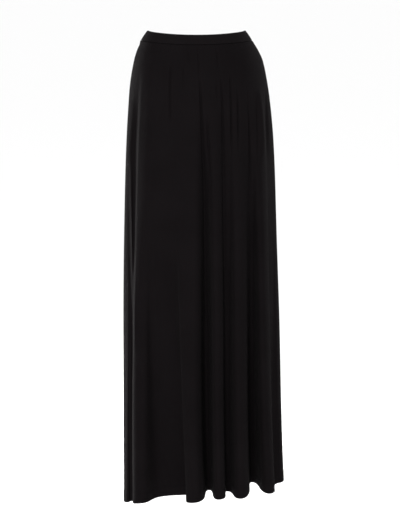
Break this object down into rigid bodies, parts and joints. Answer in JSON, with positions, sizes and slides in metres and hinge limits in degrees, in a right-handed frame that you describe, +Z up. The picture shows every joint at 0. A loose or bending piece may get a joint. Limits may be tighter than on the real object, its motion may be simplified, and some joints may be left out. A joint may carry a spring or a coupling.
{
  "type": "maxi skirt",
  "caption": "Full-length flared skirt in matte black jersey, with a narrow covered elastic waistband and deep soft folds that open out to the hem.",
  "frame": {"origin": "centre of the waist, half way up the waistband at the sides", "axes": "+Z up towards the wearer's head, -Y to the front of the skirt, +X to the right as seen from the front"},
  "size_m": [0.3727, 0.2994, 1.0889],
  "materials": {
    "jersey": "matte knitted jersey",
    "band_jersey": "matte knitted jersey over elastic"
  },
  "bodies": {
    "root": {"front_panel": "jersey", "back_panel": "jersey", "waistband": "band_jersey"}
  },
  "joints": []
}
